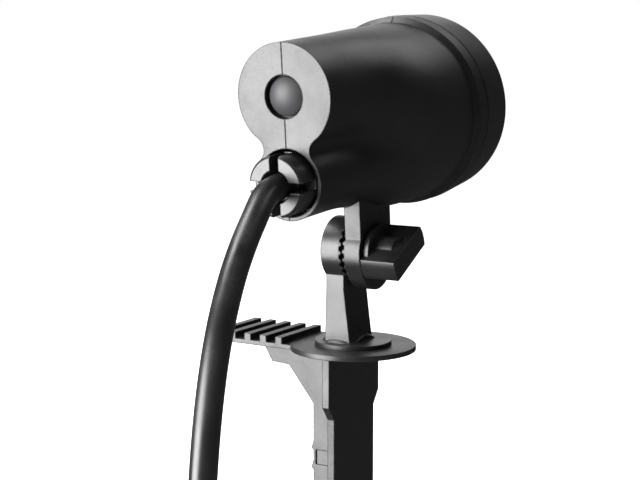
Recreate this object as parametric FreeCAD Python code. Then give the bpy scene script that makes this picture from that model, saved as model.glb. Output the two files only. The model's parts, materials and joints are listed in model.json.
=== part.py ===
"""Light projector on a ground stake, built piece by piece. Millimetres, +Z up.

Origin: centre of the stake's flange, on its underside, which is the ground line.
-Y is the way the lens faces, +X is the side of the foot tread.
The head is modelled along its own axis, with the hinge axis as its origin and the
lens towards -Y, then tipped up about the hinge.  "station" is a distance along that
axis, negative towards the back, and "level" is a height above the hinge axis.
"""
import FreeCAD, Part
import math
import os

V = FreeCAD.Vector

# ---- driving dimensions -------------------------------------------------------
# clearances
RUN = 0.05          # radial running clearance of a shaft
FIT = 0.15          # assembly clearance between pieces of one body
GAP = 0.3           # clearance between pieces that move past each other

# stake
FLANGE_R = 20.0
FLANGE_T = 1.6
TREAD_HALF = 12.1   # half width along Y
TREAD_END = 45.7
TREAD_T = 1.4
RIDGE_COUNT = 5
RIDGE_START = 19.3
RIDGE_PITCH = 5.93
RIDGE_W = 2.4
RIDGE_TOP = 3.5
BLADE_FACE = -0.5   # the blade's -X face
BLADE_T = 2.4
HUB_HALF = 15.8
HUB_DROP = 16.3
HUB_CHAMFER = 4.4
BLADE_HALF = 12.6
STAKE_LENGTH = 160.0
POINT_LENGTH = 58.0
WEB_T = 2.2
WEB_EDGE = 14.2
GUSSET_FOOT = 34.4
GUSSET_KNEE = 30.1
GUSSET_DROP = 7.4
GUSSET_HEEL = 23.6
GUSSET_END = 19.6
BARB = 0.8
BARB_HEIGHTS = (-34.5, -41.0, -62.0, -84.0)
WINDOW_HEIGHTS = (-39.8, -34.9)  # shallow pocket in the web's +Y face

# pivot post
COLLAR_R = 12.2
COLLAR_T = 1.4
POST_HALF_Y = 7.1
POST_FOOT = (-3.0, 6.2)
POST_HEAD = (-0.6, 5.7)
POST_SCREW_AT = (4.0, 4.3)
POST_SCREW_R = 1.1
POST_SCREW_HEAD_R = 2.0
POST_SCREW_HEAD_T = 0.9
POST_SCREW_SINK = 0.1     # depth of the head's face above the ground line
POST_SCREW_L = 7.5

# hinge
HINGE_Z = 32.0
BARREL_R = 10.3
BARREL = (-0.6, 5.9)
TAB = (-8.0, -2.5)
TOOTH_COUNT = 24
TOOTH_R = 0.7
TOOTH_INNER = 6.6
BOLT_R = 2.5
BOLT_HEAD_AF = 8.0
BOLT_HEAD_T = 3.2
HEAD_TILT = 5.0

# wing knob
KNOB_R = 10.3
KNOB_DISC_R = 8.4
KNOB_DISC_T = 1.7
WING_HALF = 3.4
WING_END = -20.0
WING_ANGLE = 28.6
KNOB_BOSS_R = 4.9
KNOB_BOSS_END = -16.3
INSERT_R = 3.6
INSERT_L = 5.6
WASHER_R = 6.4
WASHER_T = 0.8

# head casing
WALL = 2.0
BACK = -36.0
DISC_LEVEL = 52.4
DISC_R = 15.8
LOBE_LEVEL = 27.2
LOBE_R = 11.3
NECK_R = 3.5
RING_LEVEL = 39.5
BODY_R = 28.9
BAND_R = 30.6
BAND = (29.8, 36.4)
BAND_BEVEL = 1.6
MOUTH_R = 26.3       # bore of the casing's front
FLARE = ((-36.0, 0.0), (-26.0, 0.01), (-16.0, 0.06), (-8.0, 0.22), (-1.0, 0.50),
         (6.0, 0.76), (14.0, 0.92), (22.0, 0.98), (30.2, 1.0))
TAB_BACK = 8.9
TAB_FRONT = 10.2
TAB_KNEE = 9.0        # level where the tab's front starts to widen into its barrel
TAB_LOBE = (-1.0, -2.2)  # y and level of the rounded lower end's middle
TAB_TOP = 20.0
SEAM = 0.06         # half gap between the two shells

# hood and front optics
HOOD = (36.4, 51.5)
HOOD_R = (30.8, 29.9)
HOOD_WALL = 1.7
LIP = (42.0, 43.6)
LIP_R = 24.8
LENS_SEAT_R = 27.0
GASKET_T = 1.0
LENS_FLANGE_T = 1.6
LENS_DOME = 5.0
LENS_WALL = 2.0

# button
BUTTON_HOLE_R = 6.45
BUTTON_R = 5.7
BUTTON_PROUD = 0.6
BUTTON_TRAVEL = 1.5
BUTTON_FLANGE_R = 7.1
BUTTON_FLANGE_T = 1.0
BUTTON_GUIDE_R = 8.9
BUTTON_STEP = 2.6

# cable gland
POCKET_R = 10.15
POCKET_DEPTH = 9.0
GLAND_R = 9.3
GLAND_PROUD = 7.0
GLAND_LENGTH = 24.0
GLAND_MOUTH_R = 5.0
GLAND_MOUTH_DEPTH = 5.0
GLAND_SLOT = 3.0
GLAND_SLOT_DEPTH = 8.0
CORD_R = 3.8

# projector works
PLATE = (30.0, 32.0)
PLATE_R = 26.2
OBJECTIVE_R = 7.0
OBJECTIVE = (19.0, 30.0)
OBJECTIVE_WALL = 1.0
GEAR_MODULE = 0.5
DISC_TEETH = 60
PINION_TEETH = 12
GEAR_CENTRE_SLACK = 0.12
PATTERN_OFFSET = 9.0
PATTERN_DISC = (13.6, 15.0)
PINION_ANGLE = 20.0
AXLE_R = 1.5
MOTOR_R = 7.2
MOTOR_LENGTH = 11.0
MOTOR_SHAFT_R = 0.8
MOTOR_SCREW_OFFSET = 3.6
SMALL_SCREW_R = 1.0
SMALL_SCREW_HEAD_R = 1.9
WINDOW_COUNT = 6
WINDOW_R = 3.6
LED_PLATE = (0.0, 2.0)
LED_PLATE_HALF = 14.5
LED_PLATE_LEVELS = (RING_LEVEL - 7.2, RING_LEVEL + 16.4)
STANDOFF_AT = (11.8, RING_LEVEL + 12.6)
STANDOFF_R = 1.9
WIRE_HOLE_AT = (9.8, RING_LEVEL + 5.8)
WIRE_HOLE_R = 1.6
WIRE_R = 0.6
LED_BOARD_R = 6.4
LED_BOARD_T = 1.6
LED_CHIP = 3.4
COLLIMATOR_R = 7.6
COLLIMATOR_L = 7.6
SINK_R = 6.2
SINK_FINS = 5
DRIVER_LEVEL = 46.4
DRIVER_HALF = 10.8
DRIVER = (-29.3, -8.0)
BOARD_T = 1.6

# shell screws: station and level of each
SHELL_SCREWS = ((-23.0, 62.0), (-7.0, 61.0), (23.0, 62.5), (23.5, 18.8), (-6.0, 22.0))
BOSS_R = 3.0
SHELL_SCREW_R = 1.25
SHELL_SCREW_HEAD_R = 2.4
SHELL_SCREW_SEAT = 6.0
SHELL_SCREW_L = 13.0

# cord clamp
CLAMP_STATION = -15.0
CLAMP_W = 5.0
CLAMP_T = 2.4
CLAMP_HALF = 7.4
CLAMP_SCREW_X = 5.7
CLAMP_SCREW_R = 0.9

# free cord: x, y and the share of the drop to the floor that each point has fallen
CORD_LEAD = 6.5         # straight run out of the bushing
CORD_ROUTE = (
    (-1.2, 53.2, 0.0132), (-2.8, 59.5, 0.0340), (-4.0, 67.0, 0.0642), (-6.0, 76.5, 0.1094),
    (-9.0, 87.2, 0.1759), (-11.0, 95.0, 0.2679), (-12.0, 99.5, 0.3858), (-11.0, 101.5, 0.5274),
    (-9.5, 102.5, 0.6783), (-6.0, 105.0, 0.8009), (2.0, 110.0, 0.9000), (16.0, 116.0, 0.9660),
    (36.0, 121.5, 0.9953), (57.0, 123.7, 1.0))
# tail of the cord: x, y and height above the floor
TAIL_ROUTE = ((121.0, 37.0, 3.8), (121.3, 26.5, 4.4), (122.0, 16.0, 7.2), (123.0, 6.0, 9.0))
COIL_CENTRE = (75.0, 70.0)
COIL_MEAN_R = 46.0
COIL_WIDTH = 3
COIL_LAYERS = 2
COIL_PITCH = 7.8
COIL_ROUND = 3.0
PLUG_L = 32.0
PLUG_HALF = 12.5
PLUG_H = 18.0
PLUG_NOSE = 14.0
PLUG_ROUND = 2.0
PLUG_BLADE = (1.5, 6.4)  # thickness and width
BLADE_GAP = 12.7
BLADE_L = 17.0

# ---- helpers ------------------------------------------------------------------


def box(x0, x1, y0, y1, z0, z1):
    """Box between two corners."""
    return Part.makeBox(x1 - x0, y1 - y0, z1 - z0, V(x0, y0, z0))


def rod_x(x0, x1, y, z, r):
    """Cylinder along X."""
    return Part.makeCylinder(r, x1 - x0, V(x0, y, z), V(1, 0, 0))


def rod_z(x, y, z0, z1, r):
    """Cylinder along Z."""
    return Part.makeCylinder(r, z1 - z0, V(x, y, z0), V(0, 0, 1))


def rod_s(s0, s1, x, level, r):
    """Cylinder along the head's axis between two stations."""
    return Part.makeCylinder(r, s1 - s0, V(x, -s0, level), V(0, -1, 0))


def cone_s(s0, s1, x, level, r0, r1):
    """Cone along the head's axis between two stations."""
    if abs(r0 - r1) < 1e-6:
        return rod_s(s0, s1, x, level, r0)
    return Part.makeCone(r0, r1, s1 - s0, V(x, -s0, level), V(0, -1, 0))


def tube_s(s0, s1, x, level, r_out, r_in):
    """Tube along the head's axis between two stations."""
    return rod_s(s0, s1, x, level, r_out).cut(rod_s(s0 - 1, s1 + 1, x, level, r_in))


def slab_s(s0, s1, x0, x1, l0, l1):
    """Box in the head's frame: stations, x and levels."""
    return box(x0, x1, -s1, -s0, l0, l1)


def prism(points, direction):
    """Solid from a closed outline of points, extruded along a vector."""
    wire = Part.makePolygon([V(*p) for p in points] + [V(*points[0])])
    return Part.Face(wire).extrude(V(*direction))


def hexagon_x(x0, x1, y, z, across):
    """Hexagonal prism along X."""
    r = across / math.sqrt(3)
    ring = [(x0, y + r * math.cos(a), z + r * math.sin(a)) for a in (k * math.pi / 3 for k in range(6))]
    return prism(ring, (x1 - x0, 0, 0))


def join(shapes):
    """One shape fused from several."""
    out = shapes[0]
    if len(shapes) > 1:
        out = out.fuse(list(shapes[1:]))
    return out.removeSplitter()


def group(shapes):
    """Several separate solids kept in one node."""
    return Part.makeCompound(list(shapes))


def in_head(shape):
    """Place a shape of the head's own frame on the hinge, tipped up by the rest tilt."""
    out = shape.copy()
    out.rotate(V(0, 0, 0), V(1, 0, 0), -HEAD_TILT)
    out.translate(V(0, 0, HINGE_Z))
    return out


def head_point(x, station, level):
    """World place of a point given in the head's frame."""
    a = math.radians(HEAD_TILT)
    y = -station * math.cos(a) + level * math.sin(a)
    z = HINGE_Z + station * math.sin(a) + level * math.cos(a)
    return V(x, y, z)


# ---- casing outline -----------------------------------------------------------
OUTLINE_POINTS = 22     # points on each half of a cross-section


def eight_half(inset):
    """Right half of the back outline, from its top down to its bottom, as (x, level)."""
    r1 = DISC_R - inset
    r2 = LOBE_R - inset
    rn = NECK_R + inset
    drop = DISC_LEVEL - LOBE_LEVEL
    d1 = (drop ** 2 + (r1 + rn) ** 2 - (r2 + rn) ** 2) / (2 * drop)
    xn = math.sqrt((r1 + rn) ** 2 - d1 ** 2)
    a1 = math.atan2(xn, d1)
    a2 = math.atan2(xn, drop - d1)
    arc1 = r1 * (math.pi - a1)
    arcn = rn * (math.pi - a1 - a2)
    arc2 = r2 * (math.pi - a2)
    total = arc1 + arcn + arc2
    out = []
    for k in range(OUTLINE_POINTS):
        d = total * k / (OUTLINE_POINTS - 1)
        if d <= arc1:
            a = d / r1
            out.append((r1 * math.sin(a), DISC_LEVEL + r1 * math.cos(a)))
        elif d <= arc1 + arcn:
            a = a1 + (d - arc1) / rn
            out.append((xn - rn * math.sin(a), DISC_LEVEL - d1 + rn * math.cos(a)))
        else:
            a = (total - d) / r2
            out.append((r2 * math.sin(a), LOBE_LEVEL - r2 * math.cos(a)))
    return out


def section(station, share, inset):
    """Closed cross-section wire: the back outline blended into the round front."""
    half = []
    for k, (x, level) in enumerate(eight_half(inset)):
        a = math.pi * k / (OUTLINE_POINTS - 1)
        rx = (BODY_R - inset) * math.sin(a)
        rl = RING_LEVEL + (BODY_R - inset) * math.cos(a)
        half.append(((1 - share) * x + share * rx, (1 - share) * level + share * rl))
    loop = half + [(-x, level) for x, level in reversed(half[1:-1])]
    curve = Part.BSplineCurve()
    curve.interpolate(Points=[V(x, -station, level) for x, level in loop], PeriodicFlag=True)
    return Part.Wire([curve.toShape()])


def casing(inset, back):
    """Solid inside the casing's surface, moved in by inset, from the back station on."""
    stations = [(max(s, back), w) for s, w in FLARE if s > back - 8]
    wires = [section(s, w, inset) for s, w in stations]
    return Part.makeLoft(wires, True, False, False, 5)


# ---- stake and post -----------------------------------------------------------


def stake_blade():
    """Flange, tread, hub and T-section blade in one moulding."""
    x0, x1 = BLADE_FACE, BLADE_FACE + BLADE_T
    flange = rod_z(0, 0, 0, FLANGE_T, FLANGE_R)
    tread = box(WEB_EDGE, TREAD_END, -TREAD_HALF, TREAD_HALF, 0, TREAD_T)
    ridges = []
    for k in range(RIDGE_COUNT):
        x = RIDGE_START + k * RIDGE_PITCH
        ridges.append(box(x, x + RIDGE_W, -TREAD_HALF, TREAD_HALF, 0, RIDGE_TOP))
    taper = STAKE_LENGTH - POINT_LENGTH
    knee = HUB_DROP + HUB_CHAMFER
    half = [(HUB_HALF, 0.5), (HUB_HALF, -HUB_DROP), (BLADE_HALF, -knee), (BLADE_HALF, -taper),
            (1.2, -STAKE_LENGTH)]
    outline = [(x0, y, z) for y, z in half] + [(x0, -y, z) for y, z in reversed(half)]
    blade = prism(outline, (x1 - x0, 0, 0))
    side = [(x0 + 0.5, 0.5), (GUSSET_FOOT, 0.5), (GUSSET_FOOT, 0), (GUSSET_KNEE, -GUSSET_DROP),
            (GUSSET_HEEL, -GUSSET_DROP - 0.4), (WEB_EDGE, -GUSSET_END), (WEB_EDGE, -taper),
            (x0 + 1.6, -STAKE_LENGTH + 1), (x0 + 0.5, -STAKE_LENGTH + 1)]
    web = prism([(x, -WEB_T / 2, z) for x, z in side], (0, WEB_T, 0))
    barbs = []
    for z in BARB_HEIGHTS:
        tooth = [(WEB_EDGE - 1, z + 2.5), (WEB_EDGE, z + 2.5), (WEB_EDGE + BARB, z), (WEB_EDGE, z - 0.6),
                 (WEB_EDGE - 1, z - 0.6)]
        barbs.append(prism([(x, -WEB_T / 2, zz) for x, zz in tooth], (0, WEB_T, 0)))
    body = join([flange, tread, blade, web] + ridges + barbs)
    for x, y in post_screw_places():
        body = body.cut(rod_z(x, y, -1, FLANGE_T + 1, POST_SCREW_R + FIT))
        body = body.cut(rod_z(x, y, 0, POST_SCREW_SINK, POST_SCREW_HEAD_R + FIT))
        body = body.cut(sunk_head(x, y, FIT))
    low, high = WINDOW_HEIGHTS
    window = box(WEB_EDGE - 5.4, WEB_EDGE - 0.9, WEB_T / 2 - 0.5, WEB_T, low, high)
    return body.cut(window)


def post_screw_places():
    """Where the two screws come up through the flange into the post."""
    x, y = POST_SCREW_AT
    return [(x, y), (x, -y)]


def sunk_head(x, y, grow):
    """Countersunk head of a post screw, or with grow its seat in the flange."""
    big = POST_SCREW_HEAD_R + grow
    small = POST_SCREW_R + grow
    return Part.makeCone(big, small, POST_SCREW_HEAD_T, V(x, y, POST_SCREW_SINK))


def hinge_teeth(x, phase):
    """Ring of rounded radial teeth whose middles lie in the plane x."""
    teeth = []
    for k in range(TOOTH_COUNT):
        a = 2 * math.pi * (k + phase) / TOOTH_COUNT
        d = V(0, math.cos(a), math.sin(a))
        start = V(x, 0, 0) + d * TOOTH_INNER
        teeth.append(Part.makeCylinder(TOOTH_R, BARREL_R - 0.05 - TOOTH_INNER, start, d))
    return teeth


def pivot_post():
    """Post on the flange, carrying the toothed barrel of the hinge."""
    foot_z = FLANGE_T
    collar = rod_z(0, 0, foot_z, foot_z + COLLAR_T, COLLAR_R)
    top_z = HINGE_Z - 2
    f0, f1 = POST_FOOT
    h0, h1 = POST_HEAD
    outline = [(f0, -POST_HALF_Y, foot_z), (f1, -POST_HALF_Y, foot_z), (h1, -POST_HALF_Y, HINGE_Z - 12),
               (h1, -POST_HALF_Y, top_z), (h0, -POST_HALF_Y, top_z), (h0, -POST_HALF_Y, HINGE_Z - 12)]
    column = prism(outline, (0, 2 * POST_HALF_Y, 0))
    foot = Part.makeCone(POST_HALF_Y + 1.6, POST_HALF_Y - 1.2, 1.8, V((f0 + f1) / 2, 0, foot_z + COLLAR_T))
    foot = foot.common(box(f0 - 1.5, f1 + 1.5, -POST_HALF_Y - 1, POST_HALF_Y + 1, 0, 10))
    barrel = rod_x(BARREL[0], BARREL[1], 0, HINGE_Z, BARREL_R)
    teeth = [t.translated(V(0, 0, HINGE_Z)) for t in hinge_teeth(BARREL[0], 0)]
    body = join([collar, column, foot, barrel] + teeth)
    body = body.cut(rod_x(BARREL[0] - 2, BARREL[1] + 1, 0, HINGE_Z, BOLT_R + RUN))
    pocket = hexagon_x(BARREL[1] - BOLT_HEAD_T - 0.1, BARREL[1] + 1, 0, HINGE_Z, BOLT_HEAD_AF + 2 * RUN)
    body = body.cut(pocket)
    for x, y in post_screw_places():
        body = body.cut(rod_z(x, y, foot_z - 1, foot_z + POST_SCREW_L, POST_SCREW_R))
    return body


def post_screws():
    """Two screws from under the flange into the post."""
    out = []
    for x, y in post_screw_places():
        shank = rod_z(x, y, POST_SCREW_SINK + 0.4, POST_SCREW_L, POST_SCREW_R)
        depth = POST_SCREW_SINK + 0.4
        slot = box(x - 0.3, x + 0.3, y - 1.1, y + 1.1, -1, depth)
        cross = box(x - 1.1, x + 1.1, y - 0.3, y + 0.3, -1, depth)
        out.append(shank.fuse(sunk_head(x, y, 0)).cut(slot).cut(cross))
    return group(out)


def hinge_bolt():
    """Hexagon-headed bolt held in the barrel, threaded into the knob's insert."""
    head = hexagon_x(BARREL[1] - BOLT_HEAD_T, BARREL[1], 0, HINGE_Z, BOLT_HEAD_AF)
    shank = rod_x(WING_END + 3.2, BARREL[1] - BOLT_HEAD_T + 0.5, 0, HINGE_Z, BOLT_R)
    return join([head, shank])


# ---- wing knob ----------------------------------------------------------------


def wing_knob():
    """Knob: a disc with a straight thick wing across it and a boss in its middle."""
    inner = TAB[0] - GAP
    disc = rod_x(inner - KNOB_DISC_T, inner, 0, 0, KNOB_DISC_R)
    outer = rod_x(WING_END, inner, 0, 0, KNOB_R)
    bar = box(WING_END, inner, -KNOB_R - 1, KNOB_R + 1, -WING_HALF, WING_HALF)
    wing = outer.common(bar)
    boss = rod_x(KNOB_BOSS_END, inner, 0, 0, KNOB_BOSS_R)
    body = join([disc, wing, boss])
    body = body.cut(rod_x(inner - WASHER_T - 0.1, inner + 1, 0, 0, WASHER_R + FIT))
    body = body.cut(rod_x(WING_END + 2.8, inner + 1, 0, 0, BOLT_R + 0.3))
    body = body.cut(rod_x(inner - WASHER_T - INSERT_L, inner + 1, 0, 0, INSERT_R))
    body.rotate(V(0, 0, 0), V(1, 0, 0), -WING_ANGLE)
    body.translate(V(0, 0, HINGE_Z))
    return body


def knob_insert():
    """Brass nut moulded into the knob."""
    inner = TAB[0] - GAP - WASHER_T - 0.1
    end = TAB[0] - GAP - WASHER_T - INSERT_L
    return rod_x(end, inner, 0, HINGE_Z, INSERT_R).cut(rod_x(end - 1, inner + 1, 0, HINGE_Z, BOLT_R + RUN))


def thrust_washer():
    """Washer between the knob and the bracket."""
    x1 = TAB[0] - 0.1
    x0 = TAB[0] - GAP - WASHER_T - 0.1
    return rod_x(x0, x1, 0, HINGE_Z, WASHER_R).cut(rod_x(x0 - 1, x1 + 1, 0, HINGE_Z, BOLT_R + RUN))


# ---- head casing --------------------------------------------------------------


def casing_outer():
    """Outside of the casing with the band at its front."""
    body = casing(0, BACK)
    bevel = cone_s(BAND[0] - 0.6, BAND[0] + BAND_BEVEL, 0, RING_LEVEL, BODY_R - 1.0, BAND_R)
    band = rod_s(BAND[0] + BAND_BEVEL, BAND[1], 0, RING_LEVEL, BAND_R)
    return join([body, bevel, band])


def casing_inner():
    """Hollow of the casing, open at its front."""
    hollow = casing(WALL, BACK + WALL)
    mouth = rod_s(BAND[0] - 0.3, BAND[1] + 1, 0, RING_LEVEL, MOUTH_R)
    return hollow.fuse(mouth)


def tab_shape():
    """Bracket tab under the head with the hinge's second toothed barrel."""
    x0, x1 = TAB
    r = BARREL_R
    meet = math.sqrt(r ** 2 - TAB_BACK ** 2)
    outline = [(TAB_BACK, TAB_TOP), (TAB_BACK, meet), (0, 0), (-r * math.cos(0.2), r * math.sin(0.2)),
               (-TAB_FRONT, TAB_KNEE), (-TAB_FRONT, TAB_TOP)]
    web = prism([(x0, y, z) for y, z in outline], (x1 - x0, 0, 0))
    barrel = rod_x(x0, x1, 0, 0, r)
    lobe = rod_x(x0, x1, TAB_LOBE[0], TAB_LOBE[1], r)
    return join([web, barrel, lobe] + hinge_teeth(x1, 0.5))


def casing_shells():
    """The two half casings, split on the plane x = 0."""
    outer = casing_outer()
    inner = casing_inner()
    bosses = []
    for station, level in SHELL_SCREWS:
        bosses.append(rod_x(-BODY_R, BODY_R, -station, level, BOSS_R))
    bosses.append(tube_s(BACK + 0.5, BACK + 6.4, 0, DISC_LEVEL, BUTTON_GUIDE_R, BUTTON_HOLE_R))
    for x in (-CLAMP_SCREW_X, CLAMP_SCREW_X):
        bosses.append(rod_z(x, -CLAMP_STATION, LOBE_LEVEL - LOBE_R, LOBE_LEVEL + CORD_R - 0.2, 1.75))
    bosses = [b.common(outer) for b in bosses]
    shell = outer.cut(inner)
    shell = shell.fuse(bosses)
    tab = tab_shape().cut(inner)
    shell = shell.fuse(tab)
    cutters = [rod_s(BACK - 1, BACK + 8, 0, DISC_LEVEL, BUTTON_HOLE_R),
               rod_s(BACK + BUTTON_STEP, BACK + 8, 0, DISC_LEVEL, BUTTON_FLANGE_R + GAP),
               rod_s(BACK - 1, BACK + POCKET_DEPTH, 0, LOBE_LEVEL, POCKET_R),
               rod_s(BACK - 1, BACK + 30, 0, LOBE_LEVEL, CORD_R + FIT),
               rod_x(TAB[0] - 1, TAB[1] + 2, 0, 0, BOLT_R + RUN)]
    for x in (-CLAMP_SCREW_X, CLAMP_SCREW_X):
        cutters.append(rod_z(x, -CLAMP_STATION, LOBE_LEVEL - 6, LOBE_LEVEL + 8, CLAMP_SCREW_R))
    for station, level in SHELL_SCREWS:
        cutters.append(rod_x(SHELL_SCREW_SEAT, BODY_R + 9, -station, level, SHELL_SCREW_HEAD_R + FIT))
        cutters.append(rod_x(0, BODY_R, -station, level, SHELL_SCREW_R + FIT))
        cutters.append(rod_x(-SHELL_SCREW_L + SHELL_SCREW_SEAT - 0.5, 0, -station, level, SHELL_SCREW_R))
    shell = shell.cut(cutters)
    far = 90.0
    left = shell.common(box(SEAM, far, -far, far, -far, far))
    right = shell.common(box(-far, -SEAM, -far, far, -far, far))
    return left, right


def largest(shape):
    """The largest solid of a shape, without slivers."""
    return max(shape.Solids, key=lambda s: s.Volume)


def shell_screws():
    """Screws that hold the two half casings together, put in from the +X side."""
    out = []
    for station, level in SHELL_SCREWS:
        x = SHELL_SCREW_SEAT
        shank = rod_x(x - SHELL_SCREW_L, x + 0.5, -station, level, SHELL_SCREW_R)
        head = rod_x(x, x + 1.8, -station, level, SHELL_SCREW_HEAD_R)
        slot = box(x + 1.1, x + 2, -station - 0.35, -station + 0.35, level - 1.5, level + 1.5)
        cross = box(x + 1.1, x + 2, -station - 1.5, -station + 1.5, level - 0.35, level + 0.35)
        out.append(shank.fuse(head).cut(slot).cut(cross))
    return group(out)


# ---- hood and lens ------------------------------------------------------------


def hood_ring():
    """Hood that closes the front and shades the lens."""
    s0, s1 = HOOD
    outer = cone_s(s0, s1, 0, RING_LEVEL, HOOD_R[0], HOOD_R[1])
    outer = outer.cut(tube_s(s0 - 0.1, s0 + 0.35, 0, RING_LEVEL, HOOD_R[0] + 2, HOOD_R[0] - 0.6))
    seat = rod_s(s0 - 1, LIP[0], 0, RING_LEVEL, LENS_SEAT_R)
    throat = rod_s(LIP[0] - 1, LIP[1] + 1, 0, RING_LEVEL, LIP_R)
    mouth = cone_s(LIP[1], s1 + 0.01, 0, RING_LEVEL, HOOD_R[0] - HOOD_WALL - 0.9, HOOD_R[1] - HOOD_WALL)
    spigot = tube_s(s0 - 3.4, s0 + 0.5, 0, RING_LEVEL, MOUTH_R - RUN, MOUTH_R - 1.3)
    web = tube_s(s0, s0 + 1.2, 0, RING_LEVEL, HOOD_R[0] - 1, MOUTH_R - 1.3)
    return outer.cut([seat, throat, mouth]).fuse([spigot, web]).removeSplitter()


def lens_gasket():
    """Rubber ring between the lens and the hood's lip."""
    s1 = LIP[0]
    return tube_s(s1 - GASKET_T, s1, 0, RING_LEVEL, LENS_SEAT_R - FIT, LIP_R + 0.2)


def front_lens():
    """Clear domed cover lens."""
    s1 = LIP[0] - GASKET_T
    s0 = s1 - LENS_FLANGE_T
    flange = tube_s(s0, s1, 0, RING_LEVEL, LENS_SEAT_R - FIT, LIP_R - 3)
    base = LIP_R - 0.4
    top = s1 + LENS_DOME
    sphere_r = (base ** 2 + (top - s0) ** 2) / (2 * (top - s0))
    centre = V(0, -(top - sphere_r), RING_LEVEL)
    solid = Part.makeSphere(sphere_r, centre).common(rod_s(s0, top + 1, 0, RING_LEVEL, base))
    hollow = Part.makeSphere(sphere_r - LENS_WALL, centre)
    return solid.cut(hollow).fuse(flange).removeSplitter()


def lens_retainer():
    """Ring that presses the lens against its gasket."""
    s0 = HOOD[0] + 1.2
    s1 = LIP[0] - GASKET_T - LENS_FLANGE_T
    return tube_s(s0, s1, 0, RING_LEVEL, LENS_SEAT_R - FIT, LIP_R)


# ---- button -------------------------------------------------------------------


def button_cap():
    """Domed push button with the flange that keeps it in the casing."""
    s0 = BACK - BUTTON_PROUD
    rise = 2.0
    r = (BUTTON_R ** 2 + rise ** 2) / (2 * rise)
    dome = Part.makeSphere(r, V(0, -(s0 + r), DISC_LEVEL)).common(
        rod_s(s0, s0 + rise, 0, DISC_LEVEL, BUTTON_R))
    stem = rod_s(s0 + rise, BACK + BUTTON_STEP + 0.4, 0, DISC_LEVEL, BUTTON_R)
    s1 = BACK + BUTTON_STEP + 0.3
    flange = rod_s(s1, s1 + BUTTON_FLANGE_T, 0, DISC_LEVEL, BUTTON_FLANGE_R)
    pusher = rod_s(s1, s1 + 1.6, 0, DISC_LEVEL, 2.0)
    return join([dome, stem, flange, pusher])


def switch_body():
    """Latching switch behind the button, standing on the driver board."""
    s0 = BACK + BUTTON_STEP + 0.3 + 1.6 + BUTTON_TRAVEL + 0.2
    low = DRIVER_LEVEL + BOARD_T
    case = slab_s(s0, s0 + 5.5, -3.5, 3.5, low, DISC_LEVEL + 3.6)
    return case


# ---- cable entry --------------------------------------------------------------


def strain_relief():
    """Slotted bushing that grips the cord in the lobe."""
    s0 = BACK - GLAND_PROUD
    body = rod_s(s0, s0 + GLAND_LENGTH, 0, LOBE_LEVEL, GLAND_R - FIT)
    edge = rod_s(s0 - 0.1, s0 + 0.7, 0, LOBE_LEVEL, GLAND_R + 1).cut(
        cone_s(s0 - 0.1, s0 + 0.7, 0, LOBE_LEVEL, GLAND_R - FIT - 0.8, GLAND_R - FIT))
    mouth = cone_s(s0 - 0.01, s0 + GLAND_MOUTH_DEPTH, 0, LOBE_LEVEL, GLAND_MOUTH_R, CORD_R)
    bore = rod_s(s0 - 1, s0 + GLAND_LENGTH + 1, 0, LOBE_LEVEL, CORD_R)
    w = GLAND_SLOT / 2
    d = s0 + GLAND_SLOT_DEPTH
    cross = slab_s(s0 - 1, d, -w, w, LOBE_LEVEL - 20, LOBE_LEVEL + 20).fuse(
        slab_s(s0 - 1, d, -20, 20, LOBE_LEVEL - w, LOBE_LEVEL + w))
    core = rod_s(s0 + GLAND_MOUTH_DEPTH, d + 1, 0, LOBE_LEVEL, CORD_R + 1.1).cut(
        rod_s(s0, d + 2, 0, LOBE_LEVEL, CORD_R))
    body = body.cut([edge, cross, mouth, bore])
    return body.fuse(core).removeSplitter()


def gland_floor():
    """Station where the free cord starts, at the bottom of the bushing's mouth."""
    return BACK - GLAND_PROUD + GLAND_MOUTH_DEPTH


def inner_cord():
    """The cord's end inside the head, held by the bushing and the clamp."""
    return rod_s(gland_floor(), CLAMP_STATION + 5, 0, LOBE_LEVEL, CORD_R)


def cord_clamp():
    """Bar that presses the cord down inside the lobe."""
    s0, s1 = CLAMP_STATION - CLAMP_W / 2, CLAMP_STATION + CLAMP_W / 2
    low = LOBE_LEVEL + CORD_R
    bar = slab_s(s0, s1, -CLAMP_HALF, CLAMP_HALF, low, low + CLAMP_T)
    for x in (-CLAMP_SCREW_X, CLAMP_SCREW_X):
        bar = bar.cut(rod_z(x, -CLAMP_STATION, low - 1, low + CLAMP_T + 1, CLAMP_SCREW_R + FIT))
    return bar


def clamp_screws():
    """Two small screws of the cord clamp."""
    out = []
    top = LOBE_LEVEL + CORD_R + CLAMP_T
    for x in (-CLAMP_SCREW_X, CLAMP_SCREW_X):
        shank = rod_z(x, -CLAMP_STATION, LOBE_LEVEL - 5.5, top + 0.3, CLAMP_SCREW_R)
        out.append(shank.fuse(rod_z(x, -CLAMP_STATION, top, top + 1.1, 1.6)))
    return group(out)


# ---- projector works ----------------------------------------------------------


def gear(teeth, thickness, bore, turn, fatness):
    """Spur gear about the head's axis direction, at the origin, from station 0 on."""
    pitch_r = GEAR_MODULE * teeth / 2
    tip = pitch_r + GEAR_MODULE
    root = pitch_r - 1.25 * GEAR_MODULE
    step = 2 * math.pi / teeth
    points = []
    for k in range(teeth):
        a = turn + k * step
        for r, share in ((root, -0.32), (tip, -0.13), (tip, 0.13), (root, 0.32)):
            b = a + share * step * fatness
            points.append((r * math.cos(b), 0, r * math.sin(b)))
    solid = prism(points, (0, -thickness, 0))
    return solid.cut(rod_s(-1, thickness + 1, 0, 0, bore))


def disc_axis():
    """X and level of the pattern disc's axle."""
    return 0.0, RING_LEVEL - PATTERN_OFFSET


def pinion_axis():
    """X and level of the motor's shaft."""
    x, level = disc_axis()
    reach = GEAR_MODULE * (DISC_TEETH + PINION_TEETH) / 2 + GEAR_CENTRE_SLACK
    a = math.radians(PINION_ANGLE)
    return x + reach * math.cos(a), level + reach * math.sin(a)


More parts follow.
